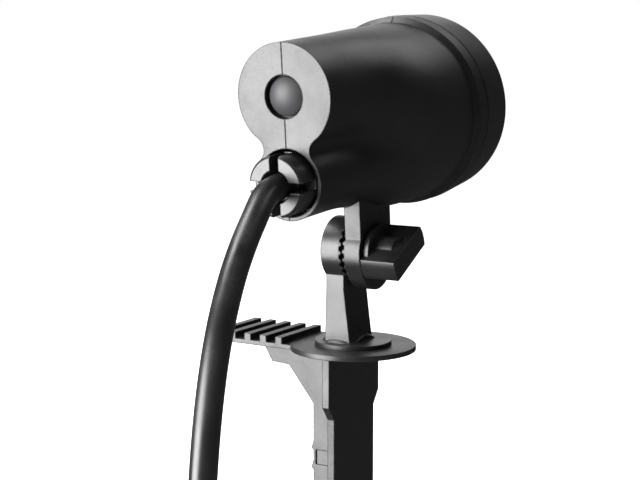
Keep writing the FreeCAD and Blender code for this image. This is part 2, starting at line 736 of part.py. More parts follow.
def window_places():
    """Where the windows sit around the pattern disc's axle, the first one at the top."""
    angles = [math.pi / 2 + 2 * math.pi * k / WINDOW_COUNT for k in range(WINDOW_COUNT)]
    return [(PATTERN_OFFSET * math.cos(a), PATTERN_OFFSET * math.sin(a)) for a in angles]


def pattern_disc():
    """Toothed disc with round windows that carry the pattern."""
    s0, s1 = PATTERN_DISC
    disc = gear(DISC_TEETH, s1 - s0, AXLE_R + RUN, math.radians(PINION_ANGLE), 1.0)
    hub = rod_s(-1.6, s1 - s0 + 1.4, 0, 0, 3.2).cut(rod_s(-3, 6, 0, 0, AXLE_R + RUN))
    disc = disc.fuse(hub)
    for dx, dl in window_places():
        disc = disc.cut(rod_s(-1, 3, dx, dl, WINDOW_R))
    x, level = disc_axis()
    disc.translate(V(x, -s0, level))
    return disc


def pattern_windows():
    """Clear patterned windows set in the disc."""
    s0, s1 = PATTERN_DISC
    x, level = disc_axis()
    inset = 0.2
    return group([rod_s(s0 + inset, s1 - inset, x + dx, level + dl, WINDOW_R) for dx, dl in window_places()])


def motor_pinion():
    """Small gear on the motor's shaft."""
    s0, s1 = PATTERN_DISC
    turn = math.radians(PINION_ANGLE) + math.pi + math.pi / PINION_TEETH
    pinion = gear(PINION_TEETH, s1 - s0 + 0.8, MOTOR_SHAFT_R + RUN, turn, 0.9)
    x, level = pinion_axis()
    pinion.translate(V(x, -(s0 - 0.4), level))
    return pinion


def disc_axle():
    """Steel pin in the front plate that the pattern disc turns on."""
    s0, s1 = PATTERN_DISC
    x, level = disc_axis()
    pin = rod_s(s0 - 2.2, PLATE[1], x, level, AXLE_R)
    stop = rod_s(s0 - 3.0, s0 - 2.0, x, level, AXLE_R + 1.0)
    shoulder = tube_s(s1 + 1.8, PLATE[0], x, level, AXLE_R + 0.4, AXLE_R - 0.1)
    return join([pin, stop, shoulder])


def motor():
    """Geared motor on the back of the front plate."""
    x, level = pinion_axis()
    s1 = PLATE[0]
    case = rod_s(s1 - MOTOR_LENGTH, s1, x, level, MOTOR_R)
    nose = rod_s(s1 - MOTOR_LENGTH - 1.2, s1 - MOTOR_LENGTH, x, level, 2.6)
    shaft = rod_s(PATTERN_DISC[0] - 0.6, s1 - MOTOR_LENGTH, x, level, MOTOR_SHAFT_R)
    holes = [rod_s(s1 - 3.2, s1 + 1, sx, sl, SMALL_SCREW_R) for sx, sl in plate_screw_places()]
    return join([case, nose, shaft]).cut(holes)


def plate_screw_places():
    """Screws that hold the motor and the standoffs to the front plate."""
    x, level = pinion_axis()
    d = MOTOR_SCREW_OFFSET
    return [(x - d, level + d), (x + d, level - d)]


def front_plate():
    """Plate across the casing's mouth that carries the works."""
    s0, s1 = PLATE
    plate = rod_s(s0, s1, 0, RING_LEVEL, PLATE_R)
    cuts = [rod_s(s0 - 1, s1 + 1, 0, RING_LEVEL, OBJECTIVE_R + FIT)]
    x, level = disc_axis()
    cuts.append(rod_s(s0 - 1, s1 + 1, x, level, AXLE_R))
    for x, level in plate_screw_places():
        cuts.append(rod_s(s0 - 1, s1 + 1, x, level, SMALL_SCREW_R + FIT))
    for x in (-STANDOFF_AT[0], STANDOFF_AT[0]):
        cuts.append(rod_s(s0 - 1, s1 + 1, x, STANDOFF_AT[1], SMALL_SCREW_R + FIT))
    for station, level in SHELL_SCREWS[2:4]:
        cuts.append(rod_x(-BODY_R, BODY_R, -station, level, BOSS_R + GAP))
    return plate.cut(cuts)


def plate_screws():
    """Screws through the front plate into the motor and the standoffs."""
    out = []
    s1 = PLATE[1]
    places = plate_screw_places() + [(-STANDOFF_AT[0], STANDOFF_AT[1]), STANDOFF_AT]
    for x, level in places:
        shank = rod_s(PLATE[0] - 3.0, s1 + 0.3, x, level, SMALL_SCREW_R)
        out.append(shank.fuse(rod_s(s1, s1 + 1.2, x, level, SMALL_SCREW_HEAD_R)))
    return group(out)


def objective_tube():
    """Short tube in the front plate that holds the projection lens."""
    s0, s1 = OBJECTIVE
    tube = tube_s(s0, PLATE[1] + 1.0, 0, RING_LEVEL, OBJECTIVE_R, OBJECTIVE_R - OBJECTIVE_WALL)
    rim = tube_s(PLATE[1], PLATE[1] + 1.0, 0, RING_LEVEL, OBJECTIVE_R + 1.4, OBJECTIVE_R - OBJECTIVE_WALL)
    return tube.fuse(rim).removeSplitter()


def objective_lens():
    """Projection lens, thick in the middle."""
    s0 = OBJECTIVE[0] + 3
    r = OBJECTIVE_R - OBJECTIVE_WALL
    front = Part.makeSphere(11.0, V(0, -(s0 + 5.0 - 11.0), RING_LEVEL))
    back = Part.makeSphere(11.0, V(0, -(s0 + 11.0), RING_LEVEL))
    return front.common(back).common(rod_s(s0 - 1, s0 + 7, 0, RING_LEVEL, r))


def standoffs():
    """Two posts between the front plate and the lamp plate."""
    out = []
    for x in (-STANDOFF_AT[0], STANDOFF_AT[0]):
        post = rod_s(LED_PLATE[1], PLATE[0], x, STANDOFF_AT[1], STANDOFF_R)
        post = post.cut(rod_s(PLATE[0] - 3.5, PLATE[0] + 1, x, STANDOFF_AT[1], SMALL_SCREW_R))
        out.append(post.cut(rod_s(LED_PLATE[1] - 1, LED_PLATE[1] + 3.5, x, STANDOFF_AT[1], SMALL_SCREW_R)))
    return group(out)


def lamp_plate():
    """Plate that carries the lamp board and the heat sink."""
    s0, s1 = LED_PLATE
    low, high = LED_PLATE_LEVELS
    plate = slab_s(s0, s1, -LED_PLATE_HALF, LED_PLATE_HALF, low, high)
    cuts = [rod_s(s0 - 1, s1 + 1, 0, RING_LEVEL, 3.0)]
    for x in (-STANDOFF_AT[0], STANDOFF_AT[0]):
        cuts.append(rod_s(s0 - 1, s1 + 1, x, STANDOFF_AT[1], SMALL_SCREW_R + FIT))
    for x in (-WIRE_HOLE_AT[0], WIRE_HOLE_AT[0]):
        cuts.append(rod_s(s0 - 1, s1 + 1, x, WIRE_HOLE_AT[1], WIRE_HOLE_R))
    return plate.cut(cuts)


def lamp_plate_screws():
    """Screws through the lamp plate into the standoffs."""
    out = []
    s0 = LED_PLATE[0]
    for x in (-STANDOFF_AT[0], STANDOFF_AT[0]):
        shank = rod_s(s0 - 0.3, LED_PLATE[1] + 3.0, x, STANDOFF_AT[1], SMALL_SCREW_R)
        out.append(shank.fuse(rod_s(s0 - 1.2, s0, x, STANDOFF_AT[1], SMALL_SCREW_HEAD_R)))
    return group(out)


def lamp_board():
    """Round metal-core board under the lamp."""
    return rod_s(LED_PLATE[1], LED_PLATE[1] + LED_BOARD_T, 0, RING_LEVEL, LED_BOARD_R)


def led_lamp():
    """Square LED package with its small dome."""
    s0 = LED_PLATE[1] + LED_BOARD_T
    h = LED_CHIP / 2
    base = slab_s(s0, s0 + 0.7, -h, h, RING_LEVEL - h, RING_LEVEL + h)
    dome = Part.makeSphere(1.3, V(0, -(s0 + 0.7), RING_LEVEL))
    return base.fuse(dome.common(rod_s(s0 + 0.3, s0 + 3, 0, RING_LEVEL, 2)))


def collimator():
    """Clear cone that gathers the lamp's light."""
    s0 = LED_PLATE[1] + LED_BOARD_T
    cone = cone_s(s0 + 0.8, s0 + COLLIMATOR_L, 0, RING_LEVEL, 3.6, COLLIMATOR_R - 0.8)
    legs = tube_s(s0, s0 + 2.2, 0, RING_LEVEL, 5.4, 4.4)
    legs = legs.fuse(tube_s(s0 + 1.4, s0 + 2.2, 0, RING_LEVEL, 5.4, 3.4))
    return cone.fuse(legs).cut(rod_s(s0 - 1, s0 + 2.6, 0, RING_LEVEL, 2.6)).removeSplitter()


def heat_sink():
    """Finned aluminium block behind the lamp plate."""
    s1 = LED_PLATE[0]
    stub = rod_s(s1 - 1.5, s1 + 2.0, 0, RING_LEVEL, 2.9)
    base = rod_s(s1 - 1.5, s1, 0, RING_LEVEL, SINK_R)
    block = rod_s(s1 - 6.5, s1 - 1.4, 0, RING_LEVEL, SINK_R)
    pitch = 2 * SINK_R / SINK_FINS
    slots = []
    for k in range(SINK_FINS - 1):
        x = -SINK_R + pitch * (k + 1)
        slots.append(slab_s(s1 - 7, s1 - 1.5, x - 0.7, x + 0.7, RING_LEVEL - 9, RING_LEVEL + 9))
    return join([base, stub, block.cut(slots)])


def driver_board():
    """Circuit board lying across the back of the head."""
    s0, s1 = DRIVER
    return slab_s(s0, s1, -DRIVER_HALF, DRIVER_HALF, DRIVER_LEVEL, DRIVER_LEVEL + BOARD_T)


def driver_parts():
    """The larger parts on the driver board."""
    low = DRIVER_LEVEL + BOARD_T
    coil = slab_s(-20.0, -12.0, -6.0, 2.0, low, low + 7.0)
    can = rod_z(6.5, 18.0, low, low + 8.0, 2.5)
    chip = slab_s(-13.5, -9.5, 4.0, 8.5, low, low + 1.6)
    under = slab_s(-22.0, -16.0, -4.0, 4.0, DRIVER_LEVEL - 2.2, DRIVER_LEVEL)
    return group([coil, can, chip, under])


def board_rails():
    """Grooved rails on both walls that the driver board slides into."""
    s0, s1 = DRIVER
    out = []
    for side in (-1, 1):
        x0, x1 = sorted((side * (DRIVER_HALF - 1.6), side * BODY_R))
        rail = slab_s(s0 + 3, s1 - 3, x0, x1, DRIVER_LEVEL - 2.2, DRIVER_LEVEL - 0.1)
        top = slab_s(s0 + 3, s1 - 3, x0, x1, DRIVER_LEVEL + BOARD_T + 0.1, DRIVER_LEVEL + BOARD_T + 1.7)
        out += [rail, top]
    return out


def bent_tube(points, r):
    """Round tube along straight runs joined by tangent arcs; returns it, its length and radii."""
    pts = [V(*p) for p in points]
    edges = []
    radii = []
    length = 0.0
    last = pts[0]
    for k in range(1, len(pts) - 1):
        a, b, c = pts[k - 1], pts[k], pts[k + 1]
        u = (b - a).normalize()
        w = (c - b).normalize()
        turn = math.acos(max(-1.0, min(1.0, u.dot(w))))
        cut = 0.45 * min((b - a).Length, (c - b).Length)
        radius = cut / math.tan(turn / 2)
        start = b - u * cut
        end = b + w * cut
        inward = (w - u).normalize()
        middle = b + inward * (radius / math.cos(turn / 2) - radius)
        edges.append(Part.LineSegment(last, start).toShape())
        edges.append(Part.Arc(start, middle, end).toShape())
        length += (start - last).Length + radius * turn
        radii.append(radius)
        last = end
    edges.append(Part.LineSegment(last, pts[-1]).toShape())
    length += (pts[-1] - last).Length
    path = Part.Wire(edges)
    profile = Part.Wire([Part.makeCircle(r, pts[0], pts[1] - pts[0])])
    solid = path.makePipeShell([profile], True, False, 2)
    return solid, length, radii


def inner_wires():
    """Lamp and motor wires from the driver board, as x, -station and level."""
    over = DRIVER_LEVEL + BOARD_T + WIRE_R + 0.15
    edge = -DRIVER[1] + 1.2
    hole_x, hole_level = WIRE_HOLE_AT
    hole_s = (LED_PLATE[0] + LED_PLATE[1]) / 2
    back = PLATE[0] - MOTOR_LENGTH
    shaft_x, shaft_level = pinion_axis()
    lamp = ((-8.0, edge, over), (-9.5, edge - 2.7, over), (-hole_x, -hole_s, hole_level - 0.1),
            (-9.0, -5.5, hole_level - 2.0), (-5.2, -4.3, RING_LEVEL + 2.2))
    drive = ((8.0, edge, over), (9.5, edge - 2.7, over), (hole_x, -hole_s, hole_level - 0.1),
             (12.0, -8.0, hole_level + 2.0), (15.5, -14.0, hole_level + 1.0),
             (shaft_x + 0.5, 0.3 - back, shaft_level + 5.5))
    return group([bent_tube(route, WIRE_R)[0] for route in (lamp, drive)])


# ---- free cord ----------------------------------------------------------------


def power_cord():
    """The hanging stretch of the cord, from the bushing to the coil on the floor."""
    start = head_point(0, gland_floor(), LOBE_LEVEL)
    lead = head_point(0, gland_floor() - CORD_LEAD, LOBE_LEVEL)
    drop = start.z + STAKE_LENGTH - CORD_R
    route = [tuple(start), tuple(lead)] + [(x, y, start.z - share * drop) for x, y, share in CORD_ROUTE]
    solid, length, radii = bent_tube(route, CORD_R)
    share = solid.Volume / (math.pi * CORD_R ** 2 * length)
    print("cord length", round(length, 1), "volume share", round(share, 4))
    print("cord radii", [round(r, 1) for r in radii])
    return solid


def cord_tail():
    """Short end of the cord between the coil and the plug."""
    route = [(x, y, height - STAKE_LENGTH) for x, y, height in TAIL_ROUTE]
    solid, length, radii = bent_tube(route, CORD_R)
    print("tail length", round(length, 1), "radii", [round(r, 1) for r in radii])
    return solid


def cord_coil():
    """Outer shape of the coiled cord lying on the floor."""
    x, y = COIL_CENTRE
    floor = -STAKE_LENGTH
    half = COIL_WIDTH * COIL_PITCH / 2
    height = COIL_LAYERS * 2 * CORD_R
    ring = rod_z(x, y, floor, floor + height, COIL_MEAN_R + half)
    ring = ring.cut(rod_z(x, y, floor - 1, floor + height + 1, COIL_MEAN_R - half))
    return ring.makeFillet(COIL_ROUND, ring.Edges)


def plug_body():
    """Moulded mains plug at the end of the cord."""
    x, y, height = TAIL_ROUTE[-1]
    floor = -STAKE_LENGTH
    z = floor + height
    nose = box(x - PLUG_HALF, x + PLUG_HALF, y - PLUG_L, y - PLUG_L + PLUG_NOSE, floor, floor + PLUG_H)
    nose = nose.makeFillet(PLUG_ROUND, nose.Edges)
    ends = []
    for a, b, t in ((5.0, 5.0, 0.0), (9.5, 7.0, PLUG_L - PLUG_NOSE)):
        corners = [(x - a, z - b), (x + a, z - b), (x + a, z + b), (x - a, z + b), (x - a, z - b)]
        ends.append(Part.makePolygon([V(cx, y - t, cz) for cx, cz in corners]))
    return join([nose, Part.makeLoft(ends, True, True)])


def plug_blades():
    """The plug's two flat blades."""
    x, y, height = TAIL_ROUTE[-1]
    z = height - STAKE_LENGTH
    t, w = PLUG_BLADE
    out = []
    for side in (-1, 1):
        cx = x + side * BLADE_GAP / 2
        out.append(box(cx - t / 2, cx + t / 2, y - PLUG_L - BLADE_L, y - PLUG_L, z - w / 2, z + w / 2))
    return group(out)


# ---- build --------------------------------------------------------------------


def build():
    """Every node of the part, by name."""
    left, right = casing_shells()
    rails = [r.common(casing_outer()) for r in board_rails()]
    left = largest(left.fuse([r for r in rails if r.BoundBox.Center.x > 0]))
    right = largest(right.fuse([r for r in rails if r.BoundBox.Center.x < 0]))
    head = {
        "left_shell": left,
        "right_shell": right,
        "shell_screws": shell_screws(),
        "hood_ring": hood_ring(),
        "lens_gasket": lens_gasket(),
        "front_lens": front_lens(),
        "lens_retainer": lens_retainer(),
        "button_cap": button_cap(),
        "switch_body": switch_body(),
        "strain_relief": strain_relief(),
        "inner_cord": inner_cord(),
        "cord_clamp": cord_clamp(),
        "clamp_screws": clamp_screws(),
        "front_plate": front_plate(),
        "plate_screws": plate_screws(),
        "objective_tube": objective_tube(),
        "objective_lens": objective_lens(),
        "motor": motor(),
        "motor_pinion": motor_pinion(),
        "pattern_disc": pattern_disc(),
        "pattern_windows": pattern_windows(),
        "disc_axle": disc_axle(),
        "standoffs": standoffs(),
        "lamp_plate": lamp_plate(),
        "lamp_plate_screws": lamp_plate_screws(),
        "lamp_board": lamp_board(),
        "led_lamp": led_lamp(),
        "collimator": collimator(),
        "heat_sink": heat_sink(),
        "driver_board": driver_board(),
        "driver_parts": driver_parts(),
        "inner_wires": inner_wires(),
    }
    nodes = {name: in_head(shape) for name, shape in head.items()}
    nodes["stake_blade"] = stake_blade()
    nodes["pivot_post"] = pivot_post()
    nodes["post_screws"] = post_screws()
    nodes["hinge_bolt"] = hinge_bolt()
    nodes["wing_knob"] = wing_knob()
    nodes["knob_insert"] = knob_insert()
    nodes["thrust_washer"] = thrust_washer()
    nodes["power_cord"] = power_cord()
    nodes["cord_coil"] = cord_coil()
    nodes["cord_tail"] = cord_tail()
    nodes["plug_body"] = plug_body()
    nodes["plug_blades"] = plug_blades()
    return nodes


def main():
    """Write one STEP file per node."""
    os.makedirs("parts", exist_ok=True)
    for name, shape in build().items():
        solids = len(shape.Solids)
        print(name, solids, "solid" if solids == 1 else "solids", round(shape.Volume, 1), shape.isValid())
        shape.exportStep("parts/" + name + ".step")


main()
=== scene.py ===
# %% [markdown]
# # A light projector on a garden stake
#
# The real thing is a bell-shaped plastic lamp head that hangs on a toothed hinge over a foot plate.
# The plate carries a tread for the shoe and a T-section spike that goes in the lawn. A thick outdoor
# mains lead leaves the head through a slotted bushing and ends in a moulded plug.
#
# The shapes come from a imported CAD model, so this script spends its effort on finishes, on the lead,
# on the plug and on the light. It begins by loading that model as a fixed frame.

# %% Load the frame
import json
import math

import bmesh
import bpy
from mathutils import Matrix, Vector


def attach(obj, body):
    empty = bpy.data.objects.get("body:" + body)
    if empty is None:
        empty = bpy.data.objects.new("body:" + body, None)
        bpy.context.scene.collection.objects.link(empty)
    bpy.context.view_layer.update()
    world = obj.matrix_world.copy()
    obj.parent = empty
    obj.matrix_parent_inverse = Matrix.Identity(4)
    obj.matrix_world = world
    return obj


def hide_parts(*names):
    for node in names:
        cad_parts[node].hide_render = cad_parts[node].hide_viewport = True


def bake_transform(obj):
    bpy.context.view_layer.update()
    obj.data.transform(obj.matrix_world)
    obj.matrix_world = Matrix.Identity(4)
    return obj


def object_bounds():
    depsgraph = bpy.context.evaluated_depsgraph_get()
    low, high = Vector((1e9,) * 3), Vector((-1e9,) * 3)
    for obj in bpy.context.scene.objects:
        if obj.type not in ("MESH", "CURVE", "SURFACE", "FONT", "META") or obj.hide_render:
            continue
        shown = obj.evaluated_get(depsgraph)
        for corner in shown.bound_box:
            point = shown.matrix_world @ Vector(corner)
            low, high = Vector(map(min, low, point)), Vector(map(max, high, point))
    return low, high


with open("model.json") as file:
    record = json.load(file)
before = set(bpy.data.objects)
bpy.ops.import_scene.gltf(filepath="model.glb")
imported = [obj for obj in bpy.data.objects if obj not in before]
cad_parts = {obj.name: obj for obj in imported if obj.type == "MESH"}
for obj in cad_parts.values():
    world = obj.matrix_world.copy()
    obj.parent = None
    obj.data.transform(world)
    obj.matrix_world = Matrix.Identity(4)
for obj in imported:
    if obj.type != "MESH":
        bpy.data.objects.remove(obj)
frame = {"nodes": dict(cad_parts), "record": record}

CAD_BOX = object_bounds()
MM = 0.001
nodes = frame["nodes"]
print("nodes", len(nodes), "box", [tuple(round(c, 4) for c in corner) for corner in CAD_BOX])

# %% [markdown]
# ## The camera
#
# A long lens keeps the two ends of the stake nearly parallel. A camera in Blender looks down its own
# -Z axis with +Y up, so the three axes are written as the columns of a matrix: that is exact, where
# three turning angles would have to be worked out.

# %% Camera
camera_data = bpy.data.cameras.new("view_camera")
camera_data.sensor_width = 36.0
camera_data.lens = 82.64
camera = bpy.data.objects.new("view_camera", camera_data)
bpy.context.scene.collection.objects.link(camera)
right = Vector((-0.8540, -0.5203, 0.0)).normalized()
back = Vector((-0.5153, 0.8459, 0.1374)).normalized()
up = back.cross(right).normalized()
camera.matrix_world = Matrix((right, up, back)).transposed().to_4x4()
camera.location = Vector((-229.52, 397.00, 98.39)) * MM
bpy.context.scene.camera = camera
print("camera stands", round(camera.location.length, 3), "m from the middle of the foot plate")

# %% [markdown]
# ## Floor
#
# The floor is a plain white sheet just under the object. A lit sheet would carry a shadow and a visible
# horizon, so it also glows as brightly as the white round it, which keeps it even out to its edge. It
# is hidden from glossy rays, because a white floor mirrored in black plastic turns lower faces grey.

# %% Floor
FLOOR_HALF = 40.0                       # so wide that its edge is never in view
FLOOR_Z = CAD_BOX[0].z - 0.1 * MM       # just below, so that the two never share a plane


def new_mesh_object(name, bm):
    """A linked object at the origin that takes its mesh from a bmesh."""
    mesh = bpy.data.meshes.new(name)
    bm.to_mesh(mesh)
    bm.free()
    made = bpy.data.objects.new(name, mesh)
    bpy.context.scene.collection.objects.link(made)
    return made


bm = bmesh.new()
bmesh.ops.create_grid(bm, x_segments=1, y_segments=1, size=FLOOR_HALF)
bmesh.ops.translate(bm, verts=bm.verts, vec=(0, 0, FLOOR_Z))
floor = new_mesh_object("floor", bm)
floor.visible_glossy = False

floor_paint = bpy.data.materials.new("pale_floor")
floor_paint.use_nodes = True
paint = floor_paint.node_tree.nodes["Principled BSDF"]
paint.inputs["Base Color"].default_value = (0.86, 0.86, 0.86, 1)
paint.inputs["Roughness"].default_value = 0.9
paint.inputs["Specular IOR Level"].default_value = 0.0
paint.inputs["Emission Color"].default_value = (1, 1, 1, 1)
paint.inputs["Emission Strength"].default_value = 1.0
floor.data.materials.append(floor_paint)
print("floor at", round(FLOOR_Z, 4))

# %% [markdown]
# ## Panels
#
# Black plastic shows almost nothing but reflections, so the light is placed by what each face mirrors.
# A wide soft panel stands low on the side that the flat faces turn to, and makes them pale grey. The
# opposite side stays dark, which leaves the side walls nearly black. Three weak panels lift the top of
# the round head, the front and the upward ledges, so that no shape is lost in the dark.

# %% Panels
HEAD_MIDDLE = Vector((0.0, 0.0, 0.06))


def soft_panel(name, place, width, height, power):
    """A rectangular area light that faces the head."""
    data = bpy.data.lights.new(name, "AREA")
    data.shape = "RECTANGLE"
    data.size = width
    data.size_y = height
    data.energy = power
    lamp = bpy.data.objects.new(name, data)
    lamp.location = place
    lamp.rotation_euler = (HEAD_MIDDLE - Vector(place)).to_track_quat("-Z", "Y").to_euler()
    lamp.visible_camera = False
    bpy.context.scene.collection.objects.link(lamp)


soft_panel("key_panel", (0.62, 1.02, 0.02), 0.95, 1.15, 74.0)
soft_panel("top_panel", (-0.25, -0.75, 1.0), 0.9, 0.6, 4.0)
soft_panel("front_panel", (0.55, -1.0, 0.35), 0.5, 0.7, 1.5)
soft_panel("ledge_panel", (0.62, 0.14, 1.03), 0.5, 0.5, 11.0)
print("lights", [lamp.name for lamp in bpy.data.lights])

# %% [markdown]
# ## Surroundings
#
# The air round the object has to look white but must not light it, or black plastic turns grey. The
# Light Path node tells the two apart: rays from the camera see white, and all others see a dark room.

# %% Surroundings
world = bpy.data.worlds.new("studio")
world.use_nodes = True
bpy.context.scene.world = world
sky = world.node_tree
sky_out = sky.nodes["World Output"]
seen = sky.nodes["Background"]
seen.inputs["Color"].default_value = (1, 1, 1, 1)
seen.inputs["Strength"].default_value = 1.0
lit = sky.nodes.new("ShaderNodeBackground")
lit.inputs["Color"].default_value = (1, 1, 1, 1)
lit.inputs["Strength"].default_value = 0.05
rays = sky.nodes.new("ShaderNodeLightPath")
choose = sky.nodes.new("ShaderNodeMixShader")
sky.links.new(rays.outputs["Is Camera Ray"], choose.inputs[0])
sky.links.new(lit.outputs[0], choose.inputs[1])
sky.links.new(seen.outputs[0], choose.inputs[2])
sky.links.new(choose.outputs[0], sky_out.inputs["Surface"])
bpy.context.scene.view_settings.view_transform = "Standard"
print("room strength", lit.inputs["Strength"].default_value)

# %% [markdown]
# ## Shared effects as node groups
#
# A group is one set of nodes that many materials can hold, each with its own values, so that an effect
# is drawn once and tuned everywhere. Before the groups come four small helpers, because nodes built
# from a script take several lines each. A number goes into a node's own socket, and only another
# node's output needs a link.

# %% Helpers for node trees


def group_tree(name, inputs, outputs):
    """A shader node group with number inputs and number or vector outputs, and its two end nodes."""
    tree = bpy.data.node_groups.new(name, "ShaderNodeTree")
    for label, value in inputs:
        tree.interface.new_socket(label, in_out="INPUT", socket_type="NodeSocketFloat").default_value = value
    for label, kind in outputs:
        tree.interface.new_socket(label, in_out="OUTPUT", socket_type=kind)
    return tree, tree.nodes.new("NodeGroupInput"), tree.nodes.new("NodeGroupOutput")


def math_node(tree, operation, first, second=None, clamp=False):
    """A math node whose two values are sockets or plain numbers."""
    node = tree.nodes.new("ShaderNodeMath")
    node.operation = operation
    node.use_clamp = clamp
    for k, value in enumerate((first, second)):
        if value is None:
            continue
        if isinstance(value, (int, float)):
            node.inputs[k].default_value = value
        else:
            tree.links.new(value, node.inputs[k])
    return node.outputs[0]


def noise_node(tree, vector, scale, detail=2.0, roughness=0.5):
    """A noise texture's value; scale is a socket or a number."""
    node = tree.nodes.new("ShaderNodeTexNoise")
    tree.links.new(vector, node.inputs["Vector"])
    node.inputs["Detail"].default_value = detail
    node.inputs["Roughness"].default_value = roughness
    if isinstance(scale, (int, float)):
        node.inputs["Scale"].default_value = scale
    else:
        tree.links.new(scale, node.inputs["Scale"])
    return node.outputs[0]


def spread(tree, value, low, high, new_low=0.0, new_high=1.0):
    """A value mapped from one range to another, clamped."""
    node = tree.nodes.new("ShaderNodeMapRange")
    tree.links.new(value, node.inputs["Value"])
    for label, number in (("From Min", low), ("From Max", high), ("To Min", new_low), ("To Max", new_high)):
        node.inputs[label].default_value = number
    return node.outputs["Result"]


FLOAT = "NodeSocketFloat"
VECTOR = "NodeSocketVector"
print("helpers ready")

# %% [markdown]
# ## Moulded grain
#
# A mould for black plastic is spark-eroded, which leaves a fine random texture on every piece. One
# noise would look like one size of bump, so a coarse one and a finer one are added. The group also
# gives a mask of the highest flecks, which scatter light a little more.

# %% Moulded grain
grain_tree, start, end = group_tree(
    "moulded_grain", [("Size", 1400.0)], [("Height", FLOAT), ("Fleck", FLOAT)])
place = grain_tree.nodes.new("ShaderNodeTexCoord").outputs["Object"]
coarse = noise_node(grain_tree, place, start.outputs["Size"], 3.0, 0.62)
fine_size = math_node(grain_tree, "MULTIPLY", start.outputs["Size"], 3.1)
fine = noise_node(grain_tree, place, fine_size, 1.0)
mixed = math_node(grain_tree, "ADD", math_node(grain_tree, "MULTIPLY", coarse, 0.7),
                  math_node(grain_tree, "MULTIPLY", fine, 0.3))
grain_tree.links.new(mixed, end.inputs["Height"])
grain_tree.links.new(spread(grain_tree, coarse, 0.52, 0.74), end.inputs["Fleck"])
print("grain sockets", [socket.name for socket in grain_tree.interface.items_tree])

# %% [markdown]
# ## Soft edges
#
# No moulded edge is perfectly sharp. Real bevels on every CAD edge would cost many faces, so the Bevel
# node bends the shading normal near an edge instead. Where that normal differs from the face's own,
# there is an edge: the difference is a mask for the polish that hands leave there.

# %% Soft edges
edge_tree, start, end = group_tree(
    "soft_edges", [("Radius", 0.0005)], [("Normal", VECTOR), ("Edge", FLOAT)])
rounding = edge_tree.nodes.new("ShaderNodeBevel")
rounding.samples = 6
edge_tree.links.new(start.outputs["Radius"], rounding.inputs["Radius"])
flat = edge_tree.nodes.new("ShaderNodeNewGeometry").outputs["Normal"]
agree = edge_tree.nodes.new("ShaderNodeVectorMath")
agree.operation = "DOT_PRODUCT"
edge_tree.links.new(rounding.outputs[0], agree.inputs[0])
edge_tree.links.new(flat, agree.inputs[1])
edge_tree.links.new(rounding.outputs[0], end.inputs["Normal"])
edge_tree.links.new(spread(edge_tree, agree.outputs["Value"], 0.995, 0.80), end.inputs["Edge"])
print("edge sockets", [socket.name for socket in edge_tree.interface.items_tree])

# %% [markdown]
# ## Handling
#
# Fingers leave slow, cloudy changes of gloss, and dust settles on what faces up. A large soft noise
# gives the clouds. The dust is that noise again, kept to the upward faces by the normal's Z and broken
# up by fine specks.

# %% Handling
handling_tree, start, end = group_tree(
    "handling", [("Size", 60.0)], [("Cloud", FLOAT), ("Dust", FLOAT)])
place = handling_tree.nodes.new("ShaderNodeTexCoord").outputs["Object"]
cloud = noise_node(handling_tree, place, start.outputs["Size"], 5.0, 0.6)
specks = noise_node(handling_tree, place, 2600.0, 2.0, 0.7)
above = handling_tree.nodes.new("ShaderNodeSeparateXYZ")
handling_tree.links.new(handling_tree.nodes.new("ShaderNodeNewGeometry").outputs["Normal"], above.inputs[0])
lying = spread(handling_tree, above.outputs["Z"], 0.2, 0.95)
patchy = spread(handling_tree, cloud, 0.42, 0.62)
dust = math_node(handling_tree, "MULTIPLY", math_node(handling_tree, "MULTIPLY", lying, patchy),
                 spread(handling_tree, specks, 0.45, 0.75))
handling_tree.links.new(cloud, end.inputs["Cloud"])
handling_tree.links.new(dust, end.inputs["Dust"])
print("handling sockets", [socket.name for socket in handling_tree.interface.items_tree])

# %% [markdown]
# ## Scratches
#
# A stake is pushed through grit, which draws long thin lines on it. A noise drawn out along one
# direction gives streaks, only its sharpest peaks are kept, and a second noise leaves them in a few
# places only, because evenly spread scratches look like a pattern.

# %% Scratches
scratch_tree, start, end = group_tree(
    "scratches", [("Size", 160.0)], [("Line", FLOAT)])
place = scratch_tree.nodes.new("ShaderNodeTexCoord").outputs["Object"]
turned = scratch_tree.nodes.new("ShaderNodeVectorRotate")
turned.rotation_type = "EULER_XYZ"
turned.inputs["Rotation"].default_value = (0.4, 0.9, 0.3)
scratch_tree.links.new(place, turned.inputs["Vector"])
drawn = scratch_tree.nodes.new("ShaderNodeMapping")
drawn.inputs["Scale"].default_value = (1.0, 0.04, 1.0)
scratch_tree.links.new(turned.outputs[0], drawn.inputs["Vector"])
streak_size = math_node(scratch_tree, "MULTIPLY", start.outputs["Size"], 14.0)
streak = noise_node(scratch_tree, drawn.outputs[0], streak_size)
region = noise_node(scratch_tree, place, start.outputs["Size"])
line = math_node(scratch_tree, "MULTIPLY", spread(scratch_tree, streak, 0.70, 0.74),
                 spread(scratch_tree, region, 0.50, 0.60))
scratch_tree.links.new(line, end.inputs["Line"])
print("groups", [g.name for g in bpy.data.node_groups])

# %% [markdown]
# ## A recipe for moulded plastic
#
# Nearly every visible piece is black plastic, yet they differ a little: the casing and the post are
# satin, the stake is duller and more coarsely grained, the hood and the knob are smoother. One function
# builds the node tree, and each finish gets its own colour, gloss, grain and amount of dust. Only what
# changes over the surface comes in by a link.

# %% Plastic recipe


def add_group(tree, group, **values):
    """Places a node group in a material and sets its inputs."""
    node = tree.nodes.new("ShaderNodeGroup")
    node.node_tree = group
    for label, value in values.items():
        node.inputs[label].default_value = value
    return node


